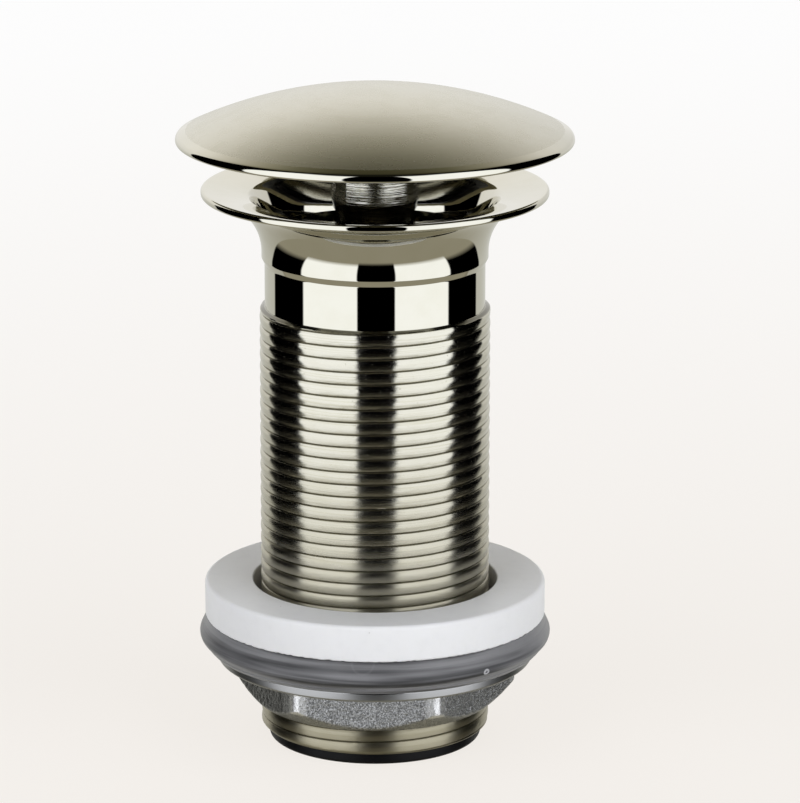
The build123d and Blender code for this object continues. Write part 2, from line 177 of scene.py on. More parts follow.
class Sheet:
    """A node tree that finishes are written on."""

    def __init__(self, tree: bpy.types.NodeTree) -> None:
        """Takes over the node tree of a material or of the world, and empties it."""
        self.tree = tree
        tree.nodes.clear()

    @staticmethod
    def _set_stops(ramp: bpy.types.ColorRamp, stops: Sequence[tuple[float, Colour]]) -> None:
        """Gives a colour ramp its stops.

        Args:
            ramp: The ramp.
            stops: Places from 0 to 1 with their colours, in order.
        """
        while len(ramp.elements) < len(stops):
            ramp.elements.new(1.0)
        for element, (place, colour) in zip(ramp.elements, stops):
            element.position = place
            element.color = (*colour, 1.0)

    def node(
        self,
        kind: str,
        settings: Mapping | None = None,
        values: Mapping | None = None,
        output: int | str = 0,
    ) -> Signal | None:
        """Adds a node.

        Args:
            kind: The node's type name.
            settings: The node's own settings, set before its sockets; "stops" fills a colour ramp.
            values: Values or links by socket name or number.
            output: Name or number of the output that is wanted.

        Returns:
            The output as a signal, or None from a node that has no outputs.
        """
        made = self.tree.nodes.new(kind)
        for name, setting in (settings or {}).items():
            if name == "stops":
                self._set_stops(made.color_ramp, setting)
            else:
                setattr(made, name, setting)
        for name, value in (values or {}).items():
            socket = made.inputs[name]
            if isinstance(value, Signal):
                self.tree.links.new(value.socket, socket)
            else:
                socket.default_value = (*value, 1.0) if socket.type == "RGBA" else value
        return Signal(self, made.outputs[output]) if len(made.outputs) else None

    @cached_property
    def place(self) -> Signal:
        """The point on the piece, in metres in the frame at rest."""
        return self.node("ShaderNodeTexCoord", output="Object")

    def axes(self, place: Signal) -> Signal:
        """Returns a point's X, whose node gives Y and Z as further parts."""
        return self.node("ShaderNodeSeparateXYZ", values={0: place})

    def stretched(self, scale: Point3) -> Signal:
        """Returns the point on the piece scaled along each axis."""
        return self.node("ShaderNodeVectorMath", {"operation": "MULTIPLY"}, {0: self.place, 1: scale})

    def polar(self) -> tuple[Signal, Signal]:
        """Splits the point on the piece into its distance from the waste's axis and its height.

        Returns:
            Radius and height, in metres.
        """
        flat = {0: self.stretched((1.0, 1.0, 0.0))}
        radius = self.node("ShaderNodeVectorMath", {"operation": "LENGTH"}, flat, "Value")
        return radius, self.axes(self.place).part("Z")

    def distance(self, centre: Point3) -> Signal:
        """Returns the point's distance in metres from a centre in millimetres."""
        values = {0: self.place, 1: tuple(c * MM for c in centre)}
        return self.node("ShaderNodeVectorMath", {"operation": "DISTANCE"}, values, "Value")

    def grain(
        self, scale: float, detail: float = 3.0, rough: float = 0.5, place: Signal | None = None
    ) -> Signal:
        """Returns fractal noise from 0 to 1, by cells per metre, octaves and the finer octaves' strength."""
        values = {"Vector": place or self.place, "Scale": scale, "Detail": detail, "Roughness": rough}
        return self.node("ShaderNodeTexNoise", {"noise_dimensions": "3D"}, values)

    def lathe_marks(self, across: float, around: float, detail: float = 3.0, rough: float = 0.5) -> Signal:
        """Noise that changes quickly along a turned profile and slowly around it.

        Args:
            across: Cells per metre along the profile.
            around: Cells per metre round the axis.
            detail: Octaves.
            rough: How strong the finer octaves are.

        Returns:
            The noise, between 0 and 1.
        """
        radius, height = self.polar()
        flat = self.axes(self.place)
        values = {0: flat * around, 1: flat.part("Y") * around, 2: (height + radius * PROFILE_LEAN) * across}
        return self.grain(1.0, detail, rough, self.node("ShaderNodeCombineXYZ", values=values))

    def dots(self, scale: float, size: float) -> Signal:
        """Returns 1 in sparse round specks, by cells per metre and a speck's radius as a share of a cell."""
        near = self.node("ShaderNodeTexVoronoi", values={"Vector": self.place, "Scale": scale})
        return near.ramp(size, size * 0.5) * self.grain(scale * 0.31, detail=0.0).ramp(0.62, 0.68)

    def ring_mark(self, centre: Point3, radius: float, width: float) -> Signal:
        """Returns 1 on a faint ring around a centre and 0 off it; width is half the ring's."""
        return abs(self.distance(centre) - radius * MM).below(width * 0.65, width * 0.35)

    def blend(self, share: Feed, first: Feed, second: Feed) -> Signal:
        """Returns the mix of two colours, the first at a share of 0 and the second at 1."""
        return self.node("ShaderNodeMix", {"data_type": "RGBA"}, {0: share, 6: first, 7: second}, 2)

    def bump(self, height: Signal, depth: float) -> Signal:
        """Returns the normal of a relief, in which a height of 1 stands for a depth in millimetres."""
        return self.node("ShaderNodeBump", values={"Strength": 1.0, "Distance": depth * MM, "Height": height})


class Finish(ABC):
    """A surface finish, made into one material however many pieces wear it."""

    label: str

    def material(self) -> bpy.types.Material:
        """Makes the finish's material the first time, and finds it again later.

        Returns:
            The material.
        """
        found = bpy.data.materials.get(self.label)
        if found is not None:
            return found
        made = bpy.data.materials.new(self.label)
        made.use_nodes = True
        sheet = Sheet(made.node_tree)
        shader = sheet.node("ShaderNodeBsdfPrincipled", values=self.sockets(sheet), output="BSDF")
        sheet.node("ShaderNodeOutputMaterial", values={"Surface": shader})
        return made

    @abstractmethod
    def sockets(self, sheet: Sheet) -> dict[str, Feed]:
        """Returns the values and links of the shader's sockets, by name."""


@dataclass(frozen=True)
class NickelPlate(Finish):
    """Warm nickel plating: mirror-polished, with a satin crown or cut threads where they are asked for."""

    label: str
    tint: Colour = (0.62, 0.605, 0.53)
    # Warm dark colour: a faint tint over the whole cut thread, and painted shade that grows towards the tail
    stain_and_shade: Colour = (0.14, 0.1, 0.0)
    # Near-black colour of the painted shade in the thread's valleys and along its top edge
    recess_shade: Colour = (0.03, 0.027, 0.012)
    dull: Colour = (0.4, 0.37, 0.25)
    polish: float = 0.03
    satin: float = 0.27
    satin_radius: float = 0.0
    cut: float = 0.13
    cut_top: float = 0.0
    # Roughness added towards the tail
    toward_tail: float = 0.26
    spread: float = 0.0
    valley: float = 0.0
    inside: Point3 = (0.0, 0.0, 0.0)
    inside_radius: float = 0.0

    def sockets(self, sheet: Sheet) -> dict[str, Feed]:
        """Polished metal with handling haze; satin inside a radius, tool marks under a height, and painted
        shade in the thread's valleys and towards its tail.

        Args:
            sheet: The material's node tree.

        Returns:
            Values and links by socket name.
        """
        radius, height = sheet.polar()
        haze = sheet.grain(scale=260.0, detail=4.0)
        roughness = self.polish + haze.ramp(0.45, 0.8) * 0.015 + sheet.dots(scale=1400.0, size=0.1) * 0.06
        lines = sheet.lathe_marks(across=5200.0, around=26.0)
        relief = (lines - 0.5) * 0.03
        tone = haze.ramp(0.3, 0.75) * 0.13 + 0.09
        if self.satin_radius:
            satin = radius.below(self.satin_radius, soft=0.05)
            broad = sheet.lathe_marks(across=900.0, around=18.0, detail=2.0)
            roughness = roughness + satin * (self.satin - self.polish + (broad - 0.5) * 0.025)
            relief = relief + satin * (lines - 0.5) * 0.1
            tone = tone + satin * (broad - 0.5) * 0.16
        if self.cut_top:
            cut = height.below(self.cut_top, soft=0.1)
            pits = sheet.grain(scale=2600.0, detail=2.0).ramp(0.7, 0.78)
            # Rises towards the tail: it roughens the thread there and carries painted shade into its colour
            toward_tail = height.ramp(self.cut_top * MM, 0.0)
            tooled = self.cut - self.polish + lines.ramp(0.5, 0.75) * 0.08 + toward_tail * self.toward_tail
            roughness = roughness + cut * tooled
            relief = relief + cut * ((lines - 0.5) * 0.5 - pits * 0.4)
            tone = tone + cut * (pits * 0.4 + lines.ramp(0.45, 0.7) * 0.3)
        darker = tuple(channel * share for channel, share in zip(self.tint, (0.8, 0.78, 0.66)))
        shade = sheet.blend(tone, self.tint, darker)
        if self.cut_top:
            # Painted shade: the thread's valleys and a strip along its top edge are darkened
            valley_shade = radius.below(self.valley - 0.19, soft=0.13)
            shoulder = height.above(self.cut_top - 0.425, soft=0.075)
            # Painted shade towards the tail, over a faint warm tint on the whole thread
            shade = sheet.blend(cut * (toward_tail * 0.46 + 0.04), shade, self.stain_and_shade)
            shade = sheet.blend(cut * (valley_shade * 0.3 + shoulder * 0.5), shade, self.recess_shade)
        if self.inside_radius:
            under = sheet.distance(self.inside).below(self.inside_radius - 0.04, soft=0.04)
            shade = sheet.blend(under, shade, self.dull)
            roughness = roughness + under * (0.4 + haze * 0.12)
        return {
            "Base Color": shade,
            "Metallic": 1.0,
            "Roughness": roughness,
            "Anisotropic": self.spread,
            "Anisotropic Rotation": 0.25,
            "Normal": sheet.bump(relief, depth=0.02),
        }


@dataclass(frozen=True)
class TurnedMetal(Finish):
    """Bare metal straight from the lathe, with fine rings."""

    label: str
    tint: Colour = (0.66, 0.66, 0.65)
    # Near-black colour of the painted shade under a height
    oil_and_shade_tint: Colour = (0.03, 0.028, 0.02)
    polish: float = 0.14
    ring_depth: float = 0.012
    rings_per_mm: float = 6.0
    spread: float = 0.6
    # Height under which the piece is painted in shade
    shaded_below: float = 0.0

    def sockets(self, sheet: Sheet) -> dict[str, Feed]:
        """Rings in the relief, with uneven bright and dull bands, and painted shade, near black, under a
        height.

        Args:
            sheet: The material's node tree.

        Returns:
            Values and links by socket name.
        """
        rings = sheet.lathe_marks(self.rings_per_mm / MM, around=30.0, detail=4.0, rough=0.7)
        bands = sheet.lathe_marks(across=700.0, around=40.0, detail=2.0)
        stain_and_shade = sheet.grain(scale=320.0, detail=4.0).ramp(0.5, 0.8)
        dull = tuple(channel * 0.72 for channel in self.tint)
        shade = sheet.blend(stain_and_shade * 0.6 + bands * 0.25, self.tint, dull)
        # Painted shade: under the height the piece is darkened to near black
        if self.shaded_below:
            oil_and_shade = sheet.polar()[1].below(self.shaded_below + 0.2, soft=0.4)
            shade = sheet.blend(oil_and_shade * 0.85, shade, self.oil_and_shade_tint)
        return {
            "Base Color": shade,
            "Metallic": 1.0,
            "Roughness": self.polish + bands * 0.08 + rings.ramp(0.5, 0.8) * 0.06,
            "Anisotropic": self.spread,
            "Anisotropic Rotation": 0.25,
            "Normal": sheet.bump(rings, depth=self.ring_depth),
        }


@dataclass(frozen=True)
class CastNutMetal(Finish):
    """Grey die-cast alloy with a grainy skin below a height and a turned flange above it."""

    label: str
    tint: Colour = (0.56, 0.565, 0.565)
    flange_tint: Colour = (0.36, 0.36, 0.355)
    # Rubbed corners, lightened further by a painted highlight
    corner_rub_and_highlight_tint: Colour = (0.85, 0.85, 0.84)
    # Colour of the painted shade on the left flats
    side_shade_tint: Colour = (0.1, 0.1, 0.095)
    turned_above: float = 0.0
    edge_above: float = 0.0
    corner_radius: float = 25.1
    # Left of this, in mm along X, the flats are painted in shade
    shaded_beyond: float = -16.1

    def sockets(self, sheet: Sheet) -> dict[str, Feed]:
        """Cast grain with rubbed corners lightened by a painted highlight and painted shade on one side
        below, polished rings above.

        Args:
            sheet: The material's node tree.

        Returns:
            Values and links by socket name.
        """
        radius, height = sheet.polar()
        turned = height.above(self.turned_above, soft=0.05)
        edge = height.above(self.edge_above, soft=0.1)
        cast = 1.0 - turned
        corner = cast * radius.above(self.corner_radius, soft=0.25)
        # Painted shade: the flats on the left side are darkened
        shaded_side = cast * sheet.axes(sheet.place).below(self.shaded_beyond, soft=0.9)
        coarse = sheet.grain(scale=1700.0, detail=2.0, rough=0.6)
        fine = sheet.grain(scale=3600.0, detail=3.0, rough=0.65)
        rings = sheet.lathe_marks(across=4000.0, around=30.0)
        rubbed = fine.ramp(0.5, 0.66)
        roughness = turned * (0.31 - edge * 0.22 + rings * 0.08) + cast * (0.36 - rubbed * 0.2)
        worn_down = 1.0 - corner * 0.35 - shaded_side * 0.6
        relief = cast * (coarse * 0.4 + fine * 0.6) * worn_down + turned * rings * 0.03
        dark = tuple(channel * 0.32 for channel in self.tint)
        skin = sheet.blend(1.0 - fine.ramp(0.38, 0.62), self.tint, dark)
        # Rubbed corners, lightened partly by a painted highlight
        skin = sheet.blend(corner * 0.8, skin, self.corner_rub_and_highlight_tint)
        skin = sheet.blend(shaded_side * 0.75, skin, self.side_shade_tint)
        return {
            "Base Color": sheet.blend(turned, skin, self.flange_tint),
            "Metallic": 1.0,
            "Roughness": roughness,
            "Normal": sheet.bump(relief, depth=0.22),
        }


@dataclass(frozen=True)
class Polyethylene(Finish):
    """Soft white plastic with sawn faces and a little dust."""

    label: str
    tint: Colour = (0.82, 0.82, 0.82)
    dust: Colour = (0.22, 0.21, 0.2)

    def sockets(self, sheet: Sheet) -> dict[str, Feed]:
        """Waxy white with faint cut rings, scuffs and specks.

        Args:
            sheet: The material's node tree.

        Returns:
            Values and links by socket name.
        """
        rings = sheet.lathe_marks(across=1500.0, around=60.0)
        scuffs = sheet.grain(scale=420.0, detail=5.0, rough=0.6)
        specks = sheet.dots(scale=380.0, size=0.07)
        shade = sheet.blend(scuffs.ramp(0.45, 0.85) * 0.5, self.tint, tuple(c * 0.93 for c in self.tint))
        return {
            "Base Color": sheet.blend(specks * 0.8, shade, self.dust),
            "Roughness": 0.42 + scuffs * 0.12,
            "Subsurface Weight": 0.25,
            "Subsurface Radius": (0.9, 0.9, 1.0),
            "Subsurface Scale": 0.0012,
            "Specular IOR Level": 0.45,
            "Normal": sheet.bump(rings * 0.4 + scuffs * 0.6, depth=0.025),
        }


@dataclass(frozen=True)
class ClearSilicone(Finish):
    """Translucent grey silicone with flow streaks round the ring."""

    label: str
    pale: Colour = (0.24, 0.24, 0.247)
    deep: Colour = (0.037, 0.037, 0.039)
    bright: Colour = (0.5, 0.5, 0.52)
    bubble: Point3 = (20.2, -25.4, 19.6)
    mark: Point3 = (-2.2, -31.2, 23.2)
    top: float = 23.3

    def sockets(self, sheet: Sheet) -> dict[str, Feed]:
        """Glossy grey whose depth changes in streaks along the ring, with a bubble and a mould mark, and
        painted light that makes its top, bottom and sides paler.

        Args:
            sheet: The material's node tree.

        Returns:
            Values and links by socket name.
        """
        streaks = sheet.lathe_marks(across=620.0, around=22.0, detail=2.0, rough=0.55)
        fine = sheet.lathe_marks(across=2600.0, around=60.0, detail=2.0)
        cloud = sheet.grain(scale=120.0)
        height = sheet.polar()[1]
        # Painted light: the top and bottom of the seal are made paler, standing in for light that comes
        # through the thin silicone and lifting the shade under the washer
        clear = height.above(self.top - 1.35, soft=0.75) + height.below(self.top - 4.45, soft=0.55)
        # Painted light: the left and right sides are made paler, where the lamps light them
        side = abs(sheet.axes(sheet.place)).above(21.5, soft=9.5)
        share = streaks * 0.9 + fine * 0.25 + cloud * 0.05 + clear * 0.2 + side * 0.15
        bubble = sheet.ring_mark(self.bubble, radius=0.5, width=0.26)
        mark = sheet.ring_mark(self.mark, radius=2.0, width=0.3) * 0.15
        shade = sheet.blend(share.ramp(0.53, 0.85), self.deep, self.pale)
        return {
            "Base Color": sheet.blend(bubble + mark * 0.4, shade, self.bright),
            "Roughness": 0.3 + cloud * 0.12,
            "IOR": 1.41,
            "Specular IOR Level": 0.4,
            "Transmission Weight": 0.12,
            "Normal": sheet.bump(streaks * 0.8 + fine * 0.2 + bubble * 2.0 + mark, depth=0.05),
        }


@dataclass(frozen=True)
class MouldedRubber(Finish):
    """Black rubber, slightly bloomed."""

    label: str
    tint: Colour = (0.003, 0.003, 0.0033)
    bloom_tint: Colour = (0.008, 0.008, 0.009)

    def sockets(self, sheet: Sheet) -> dict[str, Feed]:
        """Dull black with a fine skin and pale bloom in patches.

        Args:
            sheet: The material's node tree.

        Returns:
            Values and links by socket name.
        """
        skin = sheet.grain(scale=2200.0)
        bloom = sheet.grain(scale=240.0, detail=4.0).ramp(0.5, 0.85)
        return {
            "Base Color": sheet.blend(bloom * 0.5, self.tint, self.bloom_tint),
            "Roughness": 0.38 + bloom * 0.2 + skin * 0.08,
            "Specular IOR Level": 0.12,
            "Normal": sheet.bump(skin, depth=0.02),
        }


@dataclass(frozen=True)
class MouldedAcetal(Finish):
    """Natural acetal, cream white and slightly glossy."""

    label: str
    tint: Colour = (0.72, 0.7, 0.63)
    grease: Colour = (0.55, 0.52, 0.43)

    def sockets(self, sheet: Sheet) -> dict[str, Feed]:
        """Cream plastic with a faint flow pattern and grease smears.

        Args:
            sheet: The material's node tree.

        Returns:
            Values and links by socket name.
        """
        flow = sheet.lathe_marks(across=500.0, around=120.0)
        smear = sheet.grain(scale=600.0, detail=4.0).ramp(0.5, 0.75)
        return {
            "Base Color": sheet.blend(flow * 0.3 + smear * 0.3, self.tint, self.grease),
            "Roughness": 0.34 - smear * 0.12,
            "Normal": sheet.bump(flow, depth=0.015),
        }


@dataclass(frozen=True)
class DrawnSteel(Finish):
    """Drawn wire and punched strip, oiled."""

    label: str
    tint: Colour = (0.5, 0.5, 0.51)
    oil_and_shade_tint: Colour = (0.27, 0.26, 0.24)

    def sockets(self, sheet: Sheet) -> dict[str, Feed]:
        """Bright steel with die lines and darker oil.

        Args:
            sheet: The material's node tree.

        Returns:
            Values and links by socket name.
        """
        lines = sheet.grain(scale=3200.0, rough=0.6, place=sheet.stretched((1.0, 1.0, 2.5)))
        oil_and_shade = sheet.grain(scale=500.0, detail=4.0).ramp(0.45, 0.75)
        return {
            "Base Color": sheet.blend(oil_and_shade * 0.6, self.tint, self.oil_and_shade_tint),
            "Metallic": 1.0,
            "Roughness": 0.22 + lines * 0.12,
            "Normal": sheet.bump(lines, depth=0.008),
        }


def arc(centre: Point, radius: float, start: float, end: float, step: float = CHORD) -> list[Point]:
    """Points along an arc.

    Args:
        centre: Radius and height of the arc's centre.
        radius: The arc's radius.
        start: First angle in degrees, from the outward direction up.
        end: Last angle in degrees.
        step: Longest distance between points.

    Returns:
        The points, both ends included.
    """
    length = abs(math.radians(end - start)) * radius
    count = max(4, math.ceil(length / step), math.ceil(abs(end - start) / ARC_TURN))
    angles = np.radians(np.linspace(start, end, count + 1))
    return [(centre[0] + radius * math.cos(a), centre[1] + radius * math.sin(a)) for a in angles]


def rounded(*corners: Point3) -> list[Point]:
    """Turns a closed run of corners into a line with tangent arcs.

    Args:
        corners: Radius, height and round of each corner, in order.

    Returns:
        The points of the line.
    """
    points: list[Point] = []
    for index, (radius, height, round_off) in enumerate(corners):
        if round_off <= 0.0:
            points.append((radius, height))
            continue
        corner = Vector((radius, height))
        before = Vector(corners[index - 1][:2]) - corner
        after = Vector(corners[(index + 1) % len(corners)][:2]) - corner
        opening = before.angle(after)
        before.normalize()
        after.normalize()
        centre = corner + (before + after).normalized() * (round_off / math.sin(opening / 2))
        reach = round_off / math.tan(opening / 2)
        first = corner + before * reach - centre
        last = corner + after * reach - centre
        bend = math.pi - opening
        steps = max(3, math.ceil(bend * round_off / CHORD), math.ceil(math.degrees(bend) / CORNER_TURN))
        start = math.atan2(first.y, first.x)
        sweep = math.remainder(math.atan2(last.y, last.x) - start, math.tau)
        for k in range(steps + 1):
            angle = start + sweep * k / steps
            points.append((centre.x + round_off * math.cos(angle), centre.y + round_off * math.sin(angle)))
    return points


def make_object(
    name: str, vertices: np.ndarray, faces: Sequence[Sequence[int]], crease: float = 32.0
) -> bpy.types.Object:
    """Makes a smooth-shaded mesh object from points in millimetres.

    Args:
        name: The piece's name.
        vertices: One row of three coordinates for each point.
        faces: Point numbers of each face.
        crease: Edges that turn by more than this many degrees stay sharp.

    Returns:
        The object, linked to the scene.
    """
    mesh = bpy.data.meshes.new(name)
    mesh.from_pydata((np.asarray(vertices) * MM).tolist(), [], [tuple(face) for face in faces])
    tidy = bmesh.new()
    tidy.from_mesh(mesh)
    bmesh.ops.remove_doubles(tidy, verts=tidy.verts, dist=WELD * MM)
    bmesh.ops.recalc_face_normals(tidy, faces=tidy.faces)
    tidy.to_mesh(mesh)
    tidy.free()
    mesh.polygons.foreach_set("use_smooth", [True] * len(mesh.polygons))
    mesh.set_sharp_from_angle(angle=math.radians(crease))
    made = bpy.data.objects.new(name, mesh)
    bpy.context.scene.collection.objects.link(made)
    return made


def turned_rings(outline: Sequence[Point], segments: int) -> np.ndarray:
    """Rings of points for an outline turned about the axis.

    Args:
        outline: Radius and height of each point.
        segments: Points round each ring.

    Returns:
        One row of three coordinates for each point, ring after ring.
    """
    angles = np.linspace(0.0, math.tau, segments, endpoint=False)
    line = np.asarray(outline)
    rings = np.empty((len(line), segments, 3))
    rings[:, :, 0] = line[:, :1] * np.cos(angles)
    rings[:, :, 1] = line[:, :1] * np.sin(angles)
    rings[:, :, 2] = line[:, 1:]
    return rings.reshape(-1, 3)


def ring_faces(rings: int, segments: int, closed: bool) -> list[tuple[int, ...]]:
    """Quads between rings of points.

    Args:
        rings: Number of rings.
        segments: Points round each ring.
        closed: Whether the last ring joins the first.

    Returns:
        The faces' point numbers.
    """
    faces = []
    for ring in range(rings if closed else rings - 1):
        row, top = ring * segments, (ring + 1) % rings * segments
        for k in range(segments):
            after = (k + 1) % segments
            faces.append((row + k, row + after, top + after, top + k))
    return faces


def turn(name: str, outline: Sequence[Point], segments: int = 256, closed: bool = True) -> bpy.types.Object:
    """Returns a mesh object turned from an outline, which is a loop or runs from axis to axis."""
    return make_object(name, turned_rings(outline, segments), ring_faces(len(outline), segments, closed))


def wobble(points: np.ndarray, cell: float, seed: float) -> np.ndarray:
    """Returns smooth noise from -1 to 1 at each point, with bumps of a size in mm, the same on every run."""
    offset = Vector((seed, 2.3 * seed, -1.7 * seed))
    return np.array([noise.noise(Vector(point) / cell + offset) for point in points])


def dress(
    piece: bpy.types.Object, finish: Finish, body: Body | None = None, stands_for: str = ""
) -> None:
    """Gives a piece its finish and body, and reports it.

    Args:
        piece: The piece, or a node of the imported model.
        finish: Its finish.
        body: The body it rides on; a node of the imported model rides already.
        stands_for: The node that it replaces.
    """
    piece.data.materials.clear()
    piece.data.materials.append(finish.material())
    if body is not None:
        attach(piece, body.value)
    if stands_for:
        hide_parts(stands_for)
    log.info("%s: %d faces, %s", piece.name, len(piece.data.polygons), finish.label)


@dataclass
class ThreadForm:
    """The outside thread: rounded lands with a narrow valley between them, right-hand."""

    pitch: float = 2.309
    crest_radius: float = 20.955
    crest_height: float = 78.09
    crest_share: float = 0.5
    segments: int = 240
    # Share of a turn and depth under the crest, from valley to valley
    profile: tuple[Point, ...] = (
        (0.0, 0.48), (0.025, 0.35), (0.05, 0.22), (0.08, 0.145),
        (0.14, 0.118), (0.22, 0.085), (0.32, 0.05), (0.42, 0.022),
        (0.5, 0.005), (0.57, 0.0), (0.67, 0.01), (0.75, 0.035),
        (0.81, 0.085), (0.86, 0.11), (0.92, 0.145), (0.965, 0.33),
    )

    def lattice(
        self, low: float, high: float, limit: Callable[[np.ndarray], np.ndarray]
    ) -> tuple[np.ndarray, list[tuple[int, ...]]]:
        """Rows of points that climb with the thread, cut flat at both ends.

        Args:
            low: Height of the lower end.
            high: Height of the upper end.
            limit: Largest radius at each height, for the end chamfers.

        Returns:
            The points and the faces' point numbers.
        """
        shares, depths = np.array(self.profile).T
        steps, segments = len(self.profile), self.segments
        turns = math.ceil((high - low) / self.pitch) + 4
        first = self.crest_height - self.crest_share * self.pitch
        first -= math.ceil((first - low) / self.pitch + 2) * self.pitch
        climb = np.arange(segments) / segments
        rows = turns * steps + 1
        place = np.arange(rows)
        raised = (place // steps + shares[place % steps])[:, None]
        height = np.clip(first + self.pitch * raised + self.pitch * climb[None, :], low, high)
        radius = np.broadcast_to((self.crest_radius - depths[place % steps])[:, None], height.shape)
        radius = np.minimum(radius, limit(height))
        angles = climb * math.tau
        points = np.stack([radius * np.cos(angles), radius * np.sin(angles), height], axis=-1)
        faces = []
        for row in range(rows - 1):
            base = row * segments
            for k in range(base, base + segments - 1):
                faces.append((k, k + 1, k + 1 + segments, k + segments))
            start, after = min(row + steps, rows - 1), min(row + 1 + steps, rows - 1)
            last = base + segments - 1
            faces.append((last, start * segments, after * segments, last + segments))
        return points.reshape(-1, 3), faces


@dataclass
class WasteTube:
    """The waste body: dished flange, throat, trumpet neck, plain band and threaded tube."""

    thread: ThreadForm = field(default_factory=ThreadForm)
    bore: float = 18.0
    tube_end: float = 2.3
    end_chamfer: float = 0.6
    thread_top: float = 81.4
    run_out: float = 0.4
    band_radius: float = 20.0
    band_top: float = 90.55
    step_height: float = 1.05
    neck_radius: float = 20.55
    neck_top: float = 91.5
    flange_radius: float = 31.45
    rim_bottom: float = 101.9
    rim_top: float = 103.2
    rim_round: float = 0.5
    dish_radius: float = 30.45
    throat_radius: float = 16.1
    throat_top: float = 94.4
    shoulder: float = 80.0
    # The dish's lip and the funnel under it, down to the throat
    funnel: tuple[Point, ...] = (
        (23.07, 101.82), (22.82, 101.72), (22.57, 101.55), (22.3, 101.3), (22.05, 101.0),
        (21.78, 100.6), (21.48, 100.1), (21.14, 99.5), (20.78, 98.8), (20.4, 98.0),
        (20.09, 97.3), (19.84, 96.7), (19.65, 96.17), (19.45, 95.5), (19.3, 94.9),
    )
    chatter: float = 0.012
    chatter_size: float = 1.3
    nick_depth: float = 0.25
    nick_size: float = 0.7
    nick_level: float = 0.62

    def body_outline(self) -> list[Point]:
        """Outline from the top of the thread over the flange and down the bore to the tube's end.

        Returns:
            Radius and height of each point.
        """
        middle = self.rim_top - self.rim_round
        step_foot = self.band_top - self.step_height
        flare = self.flange_radius - self.rim_round - self.neck_radius
        # The rings beside the step keep the shading of the plain parts flat
        outline = [
            (self.band_radius, self.thread_top),
            (self.band_radius, self.thread_top + 0.15),
            (self.band_radius, step_foot - 0.2),
            (self.band_radius, step_foot - 0.05),
            (self.band_radius + 0.04, step_foot + 0.05),
            (self.neck_radius - 0.04, self.band_top - 0.05),
            (self.neck_radius, self.band_top + 0.05),
            (self.neck_radius, self.band_top + 0.2),
            (self.neck_radius, self.neck_top),
        ]
        outline += arc((self.neck_radius + flare, self.neck_top), flare, 180.0, 90.0)[1:]
        low = self.rim_bottom + self.rim_round
        outline += arc((self.flange_radius - self.rim_round, low), self.rim_round, -90.0, 0.0)[1:]
        outline += arc((self.flange_radius - self.rim_round, middle), self.rim_round, 0.0, 90.0)
        outline += [(self.dish_radius + 0.3, self.rim_top), (self.dish_radius - 0.1, self.rim_top - 0.04)]
        outline += self.funnel
        outline += [
            (self.throat_radius, self.throat_top),
            (self.throat_radius, self.shoulder),
            (self.bore, self.shoulder),
            (self.bore, self.tube_end),
            (self.thread.crest_radius - self.end_chamfer, self.tube_end),
        ]
        return outline

    def crest_limit(self, height: np.ndarray) -> np.ndarray:
        """Largest radius with the chamfer at the tube's end and the run-out under the band.

        Args:
            height: Heights in millimetres.

        Returns:
            The radius at each height.
        """
        chamfer = self.thread.crest_radius - self.end_chamfer + (height - self.tube_end)
        slope = (self.thread.crest_radius - self.band_radius) / self.run_out
        run_out = self.band_radius + (self.thread_top - height) * slope
        return np.minimum(chamfer, run_out)

    def build(self) -> None:
        """Makes the tube's mesh, with a little chatter and some nicks on the thread."""
        outline = self.body_outline()
        plain = turned_rings(outline, self.thread.segments)
        faces = ring_faces(len(outline), self.thread.segments, False)
        cut, cut_faces = self.thread.lattice(self.tube_end, self.thread_top, self.crest_limit)
        free = (cut[:, 2] > self.tube_end + 0.01) & (cut[:, 2] < self.thread_top - 0.01)
        out = cut[:, :2] / np.linalg.norm(cut[:, :2], axis=1)[:, None]
        chatter = wobble(cut * (1.0, 1.0, 3.0), self.chatter_size, seed=4.0) * self.chatter
        nicks = wobble(cut, self.nick_size, seed=9.0) - self.nick_level
        nicks = np.clip(nicks, 0.0, 1.0) * self.nick_depth
        cut[:, :2] += out * ((chatter - nicks) * free)[:, None]
        faces += [tuple(index + len(plain) for index in face) for face in cut_faces]
        tube = make_object("threaded_tube", np.vstack([plain, cut]), faces)
        crests = self.thread.crest_radius
        finish = NickelPlate("nickel_tube", cut_top=self.thread_top, spread=0.85, valley=crests)
        dress(tube, finish, Body.WASTE, "waste_body")


